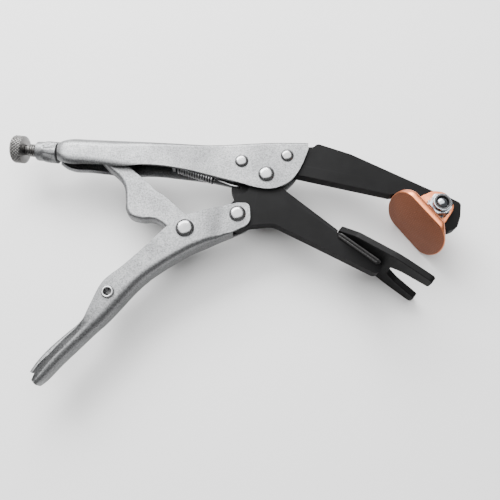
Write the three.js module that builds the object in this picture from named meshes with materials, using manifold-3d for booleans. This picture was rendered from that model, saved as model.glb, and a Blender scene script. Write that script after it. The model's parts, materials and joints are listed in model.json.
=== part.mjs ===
// Locking pliers of the plug-weld pattern: a forked lower jaw closes on a swivelling copper pad.
// Units are millimetres. The tool lies on its side: X runs from knob to jaws, Y across the open
// handles and Z is the thickness of the tool. Shapes are drawn about the main pivot, and the last
// lines move the whole tool so that the origin is the centre of its box, on the resting surface.
import * as THREE from 'three';
import { mergeVertices } from 'three/addons/utils/BufferGeometryUtils.js';
import Module from 'manifold-3d';

const wasm = await Module();
wasm.setup();

// Pivots, seen along Z, with the main pivot at the centre.
const MAIN_PIVOT = [0, 0];
const HANDLE_PIVOT = [-18.5, -27.9];
const LINK_PIVOT = [-51, -38.5];
const LEVER_PIVOT = [-95.2, -79.4];
const PAD_PIVOT = [108, -24.2];
const UPPER_RIVET_REAR = [-16, 9.4];
const UPPER_RIVET_FRONT = [13.9, 13.4];
const SPRING_REAR = [-61, 8.2];
const SPRING_FRONT = [-17.8, -7.2];
const HOOK_RECESS = [-17.4, -6.8];
const HOOK_FLOOR = 1.6;

// Stock sizes.
const GAP = 0.3;
const SHEET = 2;
const LINK_SHEET = 1.6;
const JAW_HALF = 3.75;
const CHEEK_HALF = JAW_HALF + GAP + SHEET;
const TUBE_HALF = 9.2;
const GRIP_HALF = 8.5;
const LINK_HALF = 5.2;
const LEVER_HALF = 4.4;

// Adjusting screw: its axis drops towards the jaws.
const SCREW_SLOPE = THREE.MathUtils.degToRad(-6);
const SCREW_START = [-160.6, 21];
const SCREW_RADIUS = 4.3;
const SCREW_PITCH = 1.5;
const SCREW_LENGTH = 49.4;
const KNOB_RADIUS = 9.2;
const KNOB_LENGTH = 8.6;

// Fork plate: a slotted plate square to the tool, welded on the sloping end of the lower jaw.
const FORK_SEAT = [51.3, -44.8];
const FORK_ANGLE = THREE.MathUtils.degToRad(-38);
const FORK_THICKNESS = 4;
const FORK_HALF = 23.4;
const FORK_BACK = -8.6;
const FORK_TIP = 53.6;
const SLOT_ROOT = 30.2;
const SLOT_HALF = 13.6;
const SHOULDER = 1.2;
const WELD_START = -7.6;
const WELD_LENGTH = 31.5;
const WELD_LEG = 3.2;

// Copper pad: its gripping face looks down and back, towards the fork.
const PAD_SEAT = [87.9, -23.9];
const PAD_ANGLE = THREE.MathUtils.degToRad(-53);
const PAD_THICKNESS = 4.8;
const PAD_HALF = 22;
const PAD_STRAIGHT = 22.6;
const PAD_BULGE = 11.6;
const PAD_RIM = 1.8;
const PAD_LEAN = 3;
const PAD_SLOPE = 3.4;
const WEB_THICKNESS = 3;

const Z_AXIS = new THREE.Vector3(0, 0, 1);
const group = new THREE.Group();

const METAL = {
  nickel: [0xc9cbcd, 0.38, 0.9],
  black: [0x26272a, 0.55, 0.35],
  rivet: [0xb9bbbe, 0.35, 0.9],
  zinc: [0xb4b8bd, 0.3, 0.95],
  steel: [0xa6a8a8, 0.35, 0.9],
  copper: [0xc98a6a, 0.4, 0.85],
  spring: [0x303236, 0.4, 0.8],
  nylon: [0x242424, 0.5, 0],
};

function addPiece(name, geometry, metal) {
  const [color, roughness, metalness] = METAL[metal];
  const material = new THREE.MeshStandardMaterial({ color, roughness, metalness });
  const mesh = new THREE.Mesh(geometry, material);
  mesh.name = name;
  group.add(mesh);
  return mesh;
}

// ---- Solids -------------------------------------------------------------------------------

function solidOf(geometry) {
  const bare = geometry.clone();
  bare.deleteAttribute('normal');
  bare.deleteAttribute('uv');
  const merged = mergeVertices(bare, 1e-4);
  const vertProperties = new Float32Array(merged.attributes.position.array);
  const triVerts = new Uint32Array(merged.index.array);
  return new wasm.Manifold(new wasm.Mesh({ numProp: 3, vertProperties, triVerts }));
}

function geometryOf(solid) {
  const { vertProperties, triVerts } = solid.getMesh();
  const geometry = new THREE.BufferGeometry();
  geometry.setAttribute('position', new THREE.BufferAttribute(vertProperties, 3));
  geometry.setIndex(new THREE.BufferAttribute(triVerts, 1));
  geometry.computeVertexNormals();
  return geometry;
}

function joined(...geometries) {
  return geometryOf(geometries.map(solidOf).reduce((all, one) => all.add(one)));
}

function cut(geometry, ...tools) {
  return geometryOf(tools.map(solidOf).reduce((left, tool) => left.subtract(tool), solidOf(geometry)));
}

function plate(shape, low, high, curveSegments = 8) {
  const geometry = new THREE.ExtrudeGeometry(shape, { depth: high - low, bevelEnabled: false, curveSegments });
  return geometry.translate(0, 0, low);
}

function pin([x, y], radius, low, high, sides = 20) {
  const geometry = new THREE.CylinderGeometry(radius, radius, high - low, sides);
  return geometry.rotateX(Math.PI / 2).translate(x, y, (low + high) / 2);
}

function turned(points, sides = 32) {
  const profile = points.map(([radius, height]) => new THREE.Vector2(radius, height));
  return new THREE.LatheGeometry(profile, sides).rotateX(Math.PI / 2);
}

function block(width, height, depth, x, y, z) {
  return new THREE.BoxGeometry(width, height, depth).translate(x, y, z);
}

// A closed outline through points; a point with a third value is rounded to that radius.
function outline(points) {
  const shape = new THREE.Shape();
  const count = points.length;
  points.forEach(([x, y, radius = 0], i) => {
    const here = new THREE.Vector2(x, y);
    const before = new THREE.Vector2(...points[(i + count - 1) % count].slice(0, 2)).sub(here);
    const after = new THREE.Vector2(...points[(i + 1) % count].slice(0, 2)).sub(here);
    const half = Math.acos(before.dot(after) / before.length() / after.length()) / 2;
    const reach = Math.min(radius / Math.tan(half), before.length() * 0.49, after.length() * 0.49);
    const start = before.setLength(reach).add(here);
    const end = after.setLength(reach).add(here);
    if (i === 0) shape.moveTo(start.x, start.y);
    else shape.lineTo(start.x, start.y);
    if (radius > 0) shape.quadraticCurveTo(x, y, end.x, end.y);
  });
  shape.closePath();
  return shape;
}

// Values between a table's rows, smoothly. The first column is the place of each row.
function smoothRows(rows, places) {
  const width = rows[0].length - 1;
  const values = rows.flatMap((row) => row.slice(1));
  const table = new THREE.CubicInterpolant(rows.map((row) => row[0]), values, width, new Float32Array(width));
  return places.map((place) => [place, ...table.evaluate(place)]);
}

function steps(from, to, count) {
  return Array.from({ length: count + 1 }, (_, i) => from + ((to - from) * i) / count);
}

// ---- Pressed channels ---------------------------------------------------------------------

// Half of a channel's section, from its lip to the middle of its spine, as [depth, z] points.
// The spine has rounded corners and a lip can be rolled under by an angle.
function halfSection({ depth, spineHalf, lipHalf, round, curl, wrap }, inset, lipSteps, cornerSteps) {
  const points = [];
  const curlRadius = Math.max(curl - inset, 0);
  const curlZ = lipHalf - curl - Math.max(inset - curl, 0);
  const curlDepth = depth - curl * Math.sin(wrap);
  for (const a of lipSteps > 0 ? steps(wrap, 0, lipSteps) : [0]) {
    points.push([curlDepth + curlRadius * Math.sin(a), curlZ + curlRadius * Math.cos(a)]);
  }
  const cornerRadius = Math.max(round - inset, 0.2);
  for (const b of steps(0, Math.PI / 2, cornerSteps)) {
    const spineDepth = round - cornerRadius * Math.sin(b);
    points.push([spineDepth, spineHalf - round + cornerRadius * Math.cos(b)]);
  }
  points.push([inset, 0]);
  return points;
}

// A channel lofted through stations, each with a spine point, a lip point and a section.
function channel(stations, sheet, lipSteps = 0, cornerSteps = 2) {
  const rings = stations.map((station) => {
    const spine = new THREE.Vector2(...station.spine);
    const inward = new THREE.Vector2(...station.lip).sub(spine);
    const section = { ...station, depth: inward.length() };
    inward.normalize();
    const place = ([depth, z]) => [spine.x + inward.x * depth, spine.y + inward.y * depth, z];
    const skin = (inset) => {
      const near = halfSection(section, inset, lipSteps, cornerSteps);
      const far = near.slice(0, -1).reverse().map(([depth, z]) => [depth, -z]);
      return [...near, ...far].map(place);
    };
    return [...skin(0), ...skin(sheet).reverse()];
  });
  return loft(rings);
}

// Skins a row of closed rings. A ring's first half is its outer side and the rest its inner side.
function loft(rings) {
  const size = rings[0].length;
  const last = (rings.length - 1) * size;
  const faces = [];
  const quad = (a, b, c, d) => faces.push(a, b, c, a, c, d);
  rings.slice(1).forEach((_, i) => {
    for (let j = 0; j < size; j++) {
      const next = (j + 1) % size;
      quad(i * size + j, i * size + next, (i + 1) * size + next, (i + 1) * size + j);
    }
  });
  for (let j = 0; j < size / 2 - 1; j++) {
    quad(j + 1, j, size - 1 - j, size - 2 - j);
    quad(last + j, last + j + 1, last + size - 2 - j, last + size - 1 - j);
  }
  return outward(rings.flat(2), faces);
}

// Turns the faces outward, whichever way the rings run.
function outward(coordinates, faces) {
  const corner = (i) => new THREE.Vector3().fromArray(coordinates, faces[i] * 3);
  let volume = 0;
  for (let i = 0; i < faces.length; i += 3) {
    volume += corner(i).dot(corner(i + 1).cross(corner(i + 2)));
  }
  if (volume < 0) faces.reverse();
  const geometry = new THREE.BufferGeometry();
  geometry.setAttribute('position', new THREE.Float32BufferAttribute(coordinates, 3));
  geometry.setIndex(faces);
  return geometry;
}

// ---- Fixed handle ---------------------------------------------------------------------------

// Place along X, crown height, lip height, half width, crown corner, lip roll and its angle.
const FIXED_HANDLE_ROWS = [
  [-137.5, 25.2, 11.8, 7.2, 6.2, 5, 1.3],
  [-134, 26.4, 9.4, 8.5, 7.2, 5, 1.3],
  [-130, 27.2, 7.9, TUBE_HALF, 8, 5, 1.25],
  [-118, 26.9, 7.1, TUBE_HALF, 8, 5, 1.1],
  [-106, 26.3, 6.1, TUBE_HALF, 8, 5, 0.9],
  [-96, 25.6, 4.9, TUBE_HALF, 7.4, 4.6, 0.85],
  [-88, 24.8, 4.9, TUBE_HALF, 6.4, 3.4, 0.6],
  [-80, 24.0, 5.5, TUBE_HALF, 5.4, 1.6, 0.3],
  [-70, 23.1, 5.1, TUBE_HALF, 4.6, 0.2, 0.1],
  [-60, 22.4, 3.8, 9, 4, 0, 0],
  [-48, 21.9, 1.7, 8, 3.4, 0, 0],
  [-38, 21.9, -0.4, 6.6, 2.8, 0, 0],
  [-28, 22.3, -2.9, CHEEK_HALF, 2.6, 0, 0],
  [-14, 23.1, -7, CHEEK_HALF, 2.6, 0, 0],
  [-7, 23.5, -9.2, CHEEK_HALF, 2.6, 0, 0],
  [0, 23.8, -10.3, CHEEK_HALF, 2.6, 0, 0],
  [5, 24, -10, CHEEK_HALF, 2.6, 0, 0],
  [10, 24, -8.2, CHEEK_HALF, 2.6, 0, 0],
  [15, 24, -5, CHEEK_HALF, 2.6, 0, 0],
  [19, 24, -0.8, CHEEK_HALF, 2.6, 0, 0],
  [22.5, 23.9, 5, CHEEK_HALF, 2.6, 0, 0],
  [25.4, 23.9, 11.5, CHEEK_HALF, 2.6, 0, 0],
  [28, 23.8, 18.6, CHEEK_HALF, 2.6, 0, 0],
];

function fixedHandle() {
  const places = [...steps(-137.5, -130, 3), ...steps(-124, -40, 14), ...steps(-34, 28, 16)];
  const stations = smoothRows(FIXED_HANDLE_ROWS, places).map(([x, top, bottom, half, round, curl, wrap]) => ({
    spine: [x, top],
    lip: [x, bottom],
    spineHalf: half,
    lipHalf: half,
    round,
    curl: Math.max(curl, 0),
    wrap: Math.max(wrap, 0),
  }));
  const [hookX, hookY] = SPRING_REAR;
  const tongue = block(SHEET, 17, 7, hookX, hookY + 5, 0);
  const body = joined(channel(stations, SHEET, 1, 3), tongue);
  return cut(
    body,
    pin(MAIN_PIVOT, 4.2, -12, 12),
    pin(UPPER_RIVET_REAR, 3.5, -12, 12),
    pin(UPPER_RIVET_FRONT, 3.5, -12, 12),
    new THREE.CylinderGeometry(1.3, 1.3, 9, 16).rotateZ(Math.PI / 2).translate(hookX, hookY, 0),
  );
}

// ---- Adjusting screw ------------------------------------------------------------------------

// Lays a turned piece along the screw's axis, a distance from the knob's inner face.
function onScrewAxis(geometry, distance) {
  const [x, y] = SCREW_START;
  geometry.rotateY(Math.PI / 2).rotateZ(SCREW_SLOPE);
  return geometry.translate(x + distance * Math.cos(SCREW_SLOPE), y + distance * Math.sin(SCREW_SLOPE), 0);
}

function adjustingScrew() {
  const root = SCREW_RADIUS - 0.6;
  const ridges = [];
  for (let z = 1; z < SCREW_LENGTH - 6; z += SCREW_PITCH) {
    ridges.push([root, z], [SCREW_RADIUS, z + SCREW_PITCH / 2]);
  }
  const tip = [[root, SCREW_LENGTH - 5], [2.6, SCREW_LENGTH - 0.8], [1.6, SCREW_LENGTH], [0, SCREW_LENGTH]];
  return onScrewAxis(turned([[0, GAP], [root, GAP], ...ridges, ...tip], 12), 0);
}

function adjustingKnob() {
  const r = KNOB_RADIUS;
  const length = KNOB_LENGTH;
  const body = turned([
    [0, -length], [r - 2.4, -length], [r - 0.9, -length + 0.5], [r, -length + 1.4],
    [r, -1.4], [r - 0.8, -0.5], [r - 2, 0], [0, 0],
  ], 28);
  return onScrewAxis(body, 0);
}

// The threaded neck that the screw turns in, gripped by the rear end of the handle.
function screwBoss() {
  const start = 7.6;
  const bore = SCREW_RADIUS + 0.25;
  const ring = turned([
    [bore, 0], [5.9, 0], [6.3, 0.5], [6.5, 5], [6.9, 6], [6.9, 14.6], [bore, 14.6], [bore, 0],
  ], 20);
  return onScrewAxis(ring, start);
}

// ---- Jaws -------------------------------------------------------------------------------------

function upperJaw() {
  const shape = outline([
    [-21.5, 13, 5], [-19.5, 3.6, 4], [-11.5, 3.4, 2], [-7.6, 8.4], [0, 11.3, 8], [7.6, 8.4], [11.6, 3.2, 3],
    [22, 0.3, 4], [80, -13.6, 3], [87.4, -12.2, 6], [97, -19.5, 12], [103.2, -30.4, 8],
    [114.6, -38.6, 3], [119.8, -36.8, 5], [122.9, -29, 8], [124.6, -19.6, 3], [118.4, -16, 8],
    [107.2, -10.9, 12], [56, 15.8, 12], [34.6, 23.6, 3], [31.6, 21.1, 2], [24, 20.8], [-14, 19.4, 6],
  ]);
  return cut(
    plate(shape, -JAW_HALF, JAW_HALF, 5),
    pin(UPPER_RIVET_REAR, 3.5, -8, 8),
    pin(UPPER_RIVET_FRONT, 3.5, -8, 8),
    pin(PAD_PIVOT, 4.3, -8, 8),
  );
}

// A point in the fork's plane: along it, and out from its seat on the jaw.
function forkPoint(along, out) {
  const [x, y] = FORK_SEAT;
  const c = Math.cos(FORK_ANGLE);
  const s = Math.sin(FORK_ANGLE);
  return [x + along * c - out * s, y + along * s + out * c];
}

function lowerJaw() {
  const shape = outline([
    [9, 3, 6], [8, -6, 6], [13.6, -11.8, 6], [...forkPoint(FORK_BACK - GAP, SHOULDER), 0.6],
    forkPoint(FORK_BACK - GAP, -GAP), [...forkPoint(25.5, -GAP), 3], [67.5, -67.4, 4], [21, -42.6, 20], [4, -33.4, 12], [-12, -35, 12],
    [-19, -39.4, 6], [-27.5, -33, 7], [-25, -22.5, 7], [-20, -17, 5], [-23.5, -8.5, 7], [-18, 0.2, 6],
    [-8.6, -2, 3], [-8, 5, 5], [0, 11.4, 7],
  ]);
  return cut(
    plate(shape, -JAW_HALF, JAW_HALF, 5),
    pin(MAIN_PIVOT, 4.2, -8, 8),
    pin(HANDLE_PIVOT, 4.2, -8, 8),
    pin(SPRING_FRONT, 1.5, -8, 8, 16),
    pin(HOOK_RECESS, 6.5, HOOK_FLOOR, 8),
  );
}

// Stands a shape drawn in (along, z) up in its plane, from one distance out to another.
function standing(shape, seat, angle, low, high, segments) {
  const geometry = plate(shape, -high, -low, segments);
  geometry.rotateX(Math.PI / 2).rotateZ(angle);
  return geometry.translate(seat[0], seat[1], 0);
}

function forkPlate() {
  const side = (sign) => [
    [FORK_BACK, 6.4 * sign, 2], [3, 14.4 * sign, 10], [30, 22.2 * sign, 40],
    [FORK_TIP, FORK_HALF * sign, 3], [FORK_TIP, SLOT_HALF * sign, 2],
    [SLOT_ROOT + 7, 9.6 * sign, 10], [SLOT_ROOT, 5.6 * sign, 3],
  ];
  const shape = outline([...side(1), ...side(-1).reverse()]);
  return standing(shape, FORK_SEAT, FORK_ANGLE, 0, FORK_THICKNESS, 5);
}

// A fillet of weld under the fork, along one side of the jaw.
function weldBead(side) {
  const bead = new THREE.Shape();
  bead.moveTo(0, 0);
  bead.lineTo(WELD_LEG, 0);
  bead.quadraticCurveTo(WELD_LEG * 0.6, WELD_LEG * 0.6, 0, WELD_LEG);
  bead.closePath();
  const options = { depth: WELD_LENGTH, bevelEnabled: false, curveSegments: 5 };
  const geometry = new THREE.ExtrudeGeometry(bead, options);
  geometry.rotateY(side * Math.PI / 2).translate(side < 0 ? WELD_LENGTH : 0, 0, 0);
  geometry.rotateX(Math.PI).translate(0, -GAP, side * (JAW_HALF + GAP));
  const [x, y] = forkPoint(WELD_START, 0);
  return geometry.rotateZ(FORK_ANGLE).translate(x, y, 0);
}

// ---- Copper pad ---------------------------------------------------------------------------------

// The pad's oval at a distance out from the gripping face, with its ends drawn in by a lean.
function padRing(out, lean) {
  const points = [];
  for (const [start, sign, bulge] of [[PAD_STRAIGHT, 1, PAD_BULGE - lean * PAD_SLOPE], [0, -1, PAD_BULGE - lean]]) {
    for (const a of steps(-Math.PI / 2, Math.PI / 2, 16)) {
      const along = start + sign * bulge * Math.cos(a);
      points.push(new THREE.Vector3(along, out, sign * PAD_HALF * Math.sin(a)));
    }
  }
  const [x, y] = PAD_SEAT;
  return points.map((point) => point.applyAxisAngle(Z_AXIS, PAD_ANGLE).add(new THREE.Vector3(x, y, 0)));
}

// Skins rings of equal size into one closed slab. Its faces are strips between a ring's two halves.
function slab(rings) {
  const size = rings[0].length;
  const last = (rings.length - 1) * size;
  const faces = [];
  rings.slice(1).forEach((_, i) => {
    for (let j = 0; j < size; j++) {
      const next = (j + 1) % size;
      const [a, b, c, d] = [i * size + j, i * size + next, (i + 1) * size + next, (i + 1) * size + j];
      faces.push(a, b, c, a, c, d);
    }
  });
  for (let j = 0; j < size / 2 - 1; j++) {
    const [a, b, c, d] = [j, j + 1, size - 2 - j, size - 1 - j];
    faces.push(b, a, d, b, d, c, last + a, last + b, last + d, last + b, last + c, last + d);
  }
  return outward(rings.flat().flatMap((point) => point.toArray()), faces);
}

function padPoint(along, out) {
  const point = new THREE.Vector2(along, out).rotateAround(new THREE.Vector2(), PAD_ANGLE);
  return [point.x + PAD_SEAT[0], point.y + PAD_SEAT[1]];
}

function copperPad() {
  const face = slab([padRing(0, 0), padRing(PAD_RIM, 0), padRing(PAD_THICKNESS, PAD_LEAN)]);
  const low = JAW_HALF + GAP;
  const base = PAD_THICKNESS - 1;
  const web = outline([
    padPoint(-0.6, base), [99.6, -15.5, 3], [106.4, -12.4, 8], [114.6, -13.4, 8],
    [119.6, -23.4, 8], [...padPoint(22.6, 13), 3], padPoint(23.4, base),
  ]);
  const body = joined(face, plate(web, low, low + WEB_THICKNESS, 6));
  return cut(body, pin(PAD_PIVOT, 4.3, 0, 12));
}

// ---- Lower handle, link and release lever -------------------------------------------------------

// Along the handle: spine point, lip point, half width at the spine and at the lip, spine corner.
const LOWER_HANDLE_ROWS = [
  [0, -22.6, -41, -16, -33, CHEEK_HALF, CHEEK_HALF, 2.6],
  [1, -30, -44.2, -26, -23.6, CHEEK_HALF, CHEEK_HALF, 2.6],
  [2, -38.5, -47.9, -37.4, -25.4, 7.4, 7.6, 3.6],
  [3, -47, -51.8, -46, -28.2, GRIP_HALF, GRIP_HALF, 4.6],
  [4, -55, -56.6, -55, -31.4, GRIP_HALF, GRIP_HALF, 5],
  [5, -63, -61.8, -63.6, -38.6, GRIP_HALF, GRIP_HALF, 5.2],
  [6, -73.2, -69.6, -76.5, -52, GRIP_HALF, 8.6, 5.6],
  [7, -81.4, -78, -87.6, -62.8, GRIP_HALF, 8.8, 6],
  [8, -88.6, -86.8, -98.8, -73, GRIP_HALF, 9, 6],
  [9, -96, -95.6, -104.8, -86.6, 8, 9, 6],
  [10, -103.4, -103, -109.6, -98.2, 7.6, 9, 5.8],
  [11, -112, -111.6, -118.2, -107.4, 7.6, 9, 5],
  [12, -121, -121, -126.6, -117.4, 7.2, 8.8, 4.6],
  [13, -129, -130, -132.6, -126, 6.6, 7.8, 3.6],
  [13.6, -132.6, -132.8, -134.6, -130.2, 5.8, 6.4, 2.6],
];

function lowerHandle() {
  const rows = smoothRows(LOWER_HANDLE_ROWS, steps(0, 13.6, 27));
  const stations = rows.map(([, sx, sy, lx, ly, spineHalf, lipHalf, round]) => ({
    spine: [sx, sy],
    lip: [lx, ly],
    spineHalf,
    lipHalf,
    round,
    curl: 0,
    wrap: 0,
  }));
  const [px, py] = HANDLE_PIVOT;
  const ear = outline([
    [px + 7.6, py + 7.4, 7], [px + 8.2, py - 6.4, 7], [-22.8, -40.4, 1], [-31, -42], [-34, -24.8],
    [px - 6.5, py + 6.2, 4], [px, py + 7.6, 4],
  ]);
  const sides = [1, -1].map((side) => {
    const low = side > 0 ? CHEEK_HALF - SHEET : -CHEEK_HALF;
    return plate(ear, low, low + SHEET, 6);
  });
  return cut(
    joined(channel(stations, SHEET, 0, 3), ...sides),
    pin(HANDLE_PIVOT, 4.2, -12, 12),
    pin(LINK_PIVOT, 3.8, -12, 12),
    pin(LEVER_PIVOT, 3.2, -12, 12),
  );
}

// From the nose to the pivot: spine side, then open side.
const LINK_ROWS = [
  [0, -110.6, 14.2, -105.2, 19.6],
  [1, -108.4, 10, -98.8, 15],
  [2, -103.4, 5.2, -92, 8],
  [3, -96, -1.6, -85.4, 1.8],
  [4, -91.8, -9, -80, -2.8],
  [5, -90.4, -18, -75.2, -7.3],
  [6, -90, -23.6, -71, -11.6],
  [7, -87, -28.6, -66, -14.7],
  [8, -80.4, -30.8, -60.6, -19.6],
  [9, -72.8, -30.9, -55.4, -24.4],
  [10, -66.6, -34, -50, -29.6],
  [11, -60.4, -40.2, -45.4, -34.4],
  [12, -55, -44.6, -44.2, -38.6],
];

function toggleLink() {
  const rows = smoothRows(LINK_ROWS, steps(0, 12, 20));
  const stations = rows.map(([, sx, sy, lx, ly]) => ({
    spine: [sx, sy],
    lip: [lx, ly],
    spineHalf: LINK_HALF,
    lipHalf: LINK_HALF,
    round: 2.8,
    curl: 0,
    wrap: 0,
  }));
  return cut(channel(stations, LINK_SHEET), pin(LINK_PIVOT, 3.8, -12, 12));
}

// From the nose under the link to the thumb end.
const LEVER_ROWS = [
  [0, -69, -54.6, -67.2, -56.6, 1.9],
  [1, -78, -61.8, -75.8, -64.6, 2.4],
  [2, -88.4, -69.8, -84.2, -75, 2.6],
  [3, -99.4, -77.6, -91.6, -83.8, 2.6],
  [4, -106.4, -87.4, -100.4, -91, 2.6],
  [5, -111.9, -96.2, -108.1, -98.4, 2.6],
  [6, -119.6, -103.4, -116.6, -105.9, 2.6],
  [7, -127.2, -110.8, -124.5, -113.2, 2.4],
  [8, -133.4, -118.4, -131.6, -119.8, 2],
  [9, -137.4, -125, -135.7, -126, 1.9],
];

function releaseLever() {
  const rows = smoothRows(LEVER_ROWS, steps(0, 9, 14));
  const stations = rows.map(([, sx, sy, lx, ly, round]) => ({
    spine: [sx, sy],
    lip: [lx, ly],
    spineHalf: LEVER_HALF,
    lipHalf: LEVER_HALF,
    round,
    curl: 0,
    wrap: 0,
  }));
  return cut(channel(stations, LINK_SHEET), pin(LEVER_PIVOT, 3.2, -12, 12));
}

// ---- Rivets and fasteners -------------------------------------------------------------------------

// A solid rivet with a low dome on each side of a stack of plates.
function rivet([x, y], shank, head, halfStack, rise) {
  const face = halfStack + GAP;
  const dome = [[0, rise], [0.55, rise * 0.85], [0.92, rise * 0.4], [1, 0]];
  const upper = dome.map(([r, h]) => [r * head, face + h]);
  const lower = dome.map(([r, h]) => [r * head, -face - h]);
  const profile = [...lower, [shank, -face], [shank, face], ...upper.reverse()];
  return turned(profile, 18).translate(x, y, 0);
}

function hollowRivet([x, y], halfStack) {
  const bore = 2;
  const shank = 2.9;
  const flange = 3.8;
  const face = halfStack + GAP;
  const end = face + 1.1;
  const ring = turned([
    [bore, -end], [3.1, -end], [flange, -face - 0.5], [flange, -face], [shank, -face],
    [shank, face], [flange, face], [flange, face + 0.5], [3.1, end], [bore, end], [bore, -end],
  ], 20);
  return ring.translate(x, y, 0);
}

function hexagon(acrossFlats) {
  const r = acrossFlats / Math.sqrt(3);
  return new THREE.Shape(steps(0, 5, 5).map((i) => new THREE.Vector2(
    r * Math.cos((i * Math.PI) / 3), r * Math.sin((i * Math.PI) / 3))));
}

// The pad's bolt stack, from the head on the far side to the domed end over the nut.
const HEAD_TOP = -JAW_HALF - GAP - 1.6 - GAP;
const WASHER_LOW = JAW_HALF + GAP + WEB_THICKNESS + GAP;
const NUT_LOW = WASHER_LOW + 1.2 + GAP;
const NUT_HEX = 5;
const NUT_HEIGHT = 7.4;
const BOLT_RADIUS = 3.95;

function padBolt() {
  const end = NUT_LOW + NUT_HEIGHT + 0.9;
  const [x, y] = PAD_PIVOT;
  const shank = turned([
    [0, HEAD_TOP - 1], [BOLT_RADIUS, HEAD_TOP - 1], [BOLT_RADIUS, end - 1.6],
    [BOLT_RADIUS - 0.6, end - 0.7], [2, end - 0.15], [0, end],
  ], 20);
  return joined(plate(hexagon(13), HEAD_TOP - 5.3, HEAD_TOP), shank).translate(x, y, 0);
}

function padNut() {
  const [x, y] = PAD_PIVOT;
  const collar = turned([
    [0, NUT_HEX - 1], [5.9, NUT_HEX - 1], [5.9, NUT_HEIGHT - 0.7], [5.4, NUT_HEIGHT], [0, NUT_HEIGHT],
  ], 20);
  const body = joined(plate(hexagon(13), 0, NUT_HEX), collar).translate(x, y, NUT_LOW);
  return cut(body, pin(PAD_PIVOT, BOLT_RADIUS + GAP, 0, 20), pin(PAD_PIVOT, 5.1, NUT_LOW + 5.7, 20));
}

function nutInsert() {
  const [x, y] = PAD_PIVOT;
  const bore = BOLT_RADIUS + GAP / 2;
  const ring = turned([[bore, 6], [4.85, 6], [4.85, 7.5], [bore, 7.5], [bore, 6]], 20);
  return ring.translate(x, y, NUT_LOW);
}

// A lock washer with teeth around its rim.
function lockWasher() {
  const teeth = 16;
  const rim = steps(0, teeth * 2 - 1, teeth * 2 - 1).map((i) => {
    const r = i % 2 ? 7.7 : 6.7;
    const a = (i * Math.PI) / teeth;
    return new THREE.Vector2(r * Math.cos(a), r * Math.sin(a));
  });
  const [x, y] = PAD_PIVOT;
  const disc = plate(new THREE.Shape(rim), WASHER_LOW, WASHER_LOW + 1.2).translate(x, y, 0);
  return cut(disc, pin(PAD_PIVOT, BOLT_RADIUS + GAP, 0, 20));
}

function headWasher() {
  const [x, y] = PAD_PIVOT;
  const low = HEAD_TOP + GAP;
  const bore = BOLT_RADIUS + GAP;
  return turned([[bore, low], [8, low], [8, low + 1.6], [bore, low + 1.6], [bore, low]], 20).translate(x, y, 0);
}

// ---- Return spring --------------------------------------------------------------------------------

const WIRE_RADIUS = 0.6;
const COIL_RADIUS = 2.9;
const COIL_TURNS = 16;
const COIL_START = 3.4;
const COIL_PITCH = 1.55;
const TURN_STEPS = 8;

// The wire's centre line: a hook through the handle's tongue, the coil, then a long arm that runs
// into the jaw's recess and turns down its hole.
function springLine() {
  const rear = new THREE.Vector3(...SPRING_REAR, 0);
  const front = new THREE.Vector3(...SPRING_FRONT, 0);
  const along = front.clone().sub(rear).normalize();
  const side = new THREE.Vector3(-along.y, along.x, 0);
  const onAxis = (distance, out = 0, z = 0) => rear.clone()
    .addScaledVector(along, distance).addScaledVector(side, out).addScaledVector(Z_AXIS, z);
  const coil = steps(0, COIL_TURNS, COIL_TURNS * TURN_STEPS).map((turn) => {
    const angle = turn * 2 * Math.PI;
    const distance = COIL_START + turn * COIL_PITCH;
    return onAxis(distance, COIL_RADIUS * Math.cos(angle), COIL_RADIUS * Math.sin(angle));
  });
  const end = COIL_START + COIL_TURNS * COIL_PITCH;
  const lift = HOOK_FLOOR + GAP + WIRE_RADIUS;
  const hook = rear.clone().add(new THREE.Vector3(-2.6, 2.4, 0));
  const [x, y] = SPRING_FRONT;
  return [
    hook, rear.clone().add(new THREE.Vector3(-2.2, 0.4, 0)), onAxis(1.4, 0.4), ...coil,
    onAxis(end + 2.4, 0.8, 0.2), onAxis(end + 7, 0, 1.4), new THREE.Vector3(x - 4.6, y + 0.6, lift),
    new THREE.Vector3(x - 0.9, y + 0.1, lift), new THREE.Vector3(x, y, lift - 1), new THREE.Vector3(x, y, -1.5),
  ];
}

function returnSpring() {
  const section = new THREE.Shape(steps(0, 3, 3).map((i) => new THREE.Vector2(
    WIRE_RADIUS * Math.cos(i * 0.5 * Math.PI), WIRE_RADIUS * Math.sin(i * 0.5 * Math.PI))));
  const extrudePath = new THREE.CatmullRomCurve3(springLine());
  return new THREE.ExtrudeGeometry(section, { extrudePath, steps: 170, bevelEnabled: false });
}

// ---- Assembly ---------------------------------------------------------------------------------------

addPiece('fixed_handle', fixedHandle(), 'nickel');
addPiece('screw_boss', screwBoss(), 'nickel');
addPiece('adjusting_screw', adjustingScrew(), 'steel');
addPiece('adjusting_knob', adjustingKnob(), 'steel');
addPiece('upper_jaw', upperJaw(), 'black');
addPiece('upper_jaw_rivet_rear', rivet(UPPER_RIVET_REAR, 3.2, 4.4, CHEEK_HALF, 1.8), 'rivet');
addPiece('upper_jaw_rivet_front', rivet(UPPER_RIVET_FRONT, 3.2, 4.3, CHEEK_HALF, 1.8), 'rivet');
addPiece('main_pivot_rivet', rivet(MAIN_PIVOT, 3.9, 5.3, CHEEK_HALF, 2.2), 'rivet');
addPiece('lower_jaw', lowerJaw(), 'black');
addPiece('fork_plate', forkPlate(), 'black');
addPiece('weld_bead_near', weldBead(1), 'black');
addPiece('weld_bead_far', weldBead(-1), 'black');
addPiece('lower_handle', lowerHandle(), 'nickel');
addPiece('handle_jaw_rivet', rivet(HANDLE_PIVOT, 3.9, 5.3, CHEEK_HALF, 2.2), 'rivet');
addPiece('handle_link_rivet', rivet(LINK_PIVOT, 3.5, 5.8, GRIP_HALF, 2.2), 'rivet');
addPiece('toggle_link', toggleLink(), 'nickel');
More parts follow.
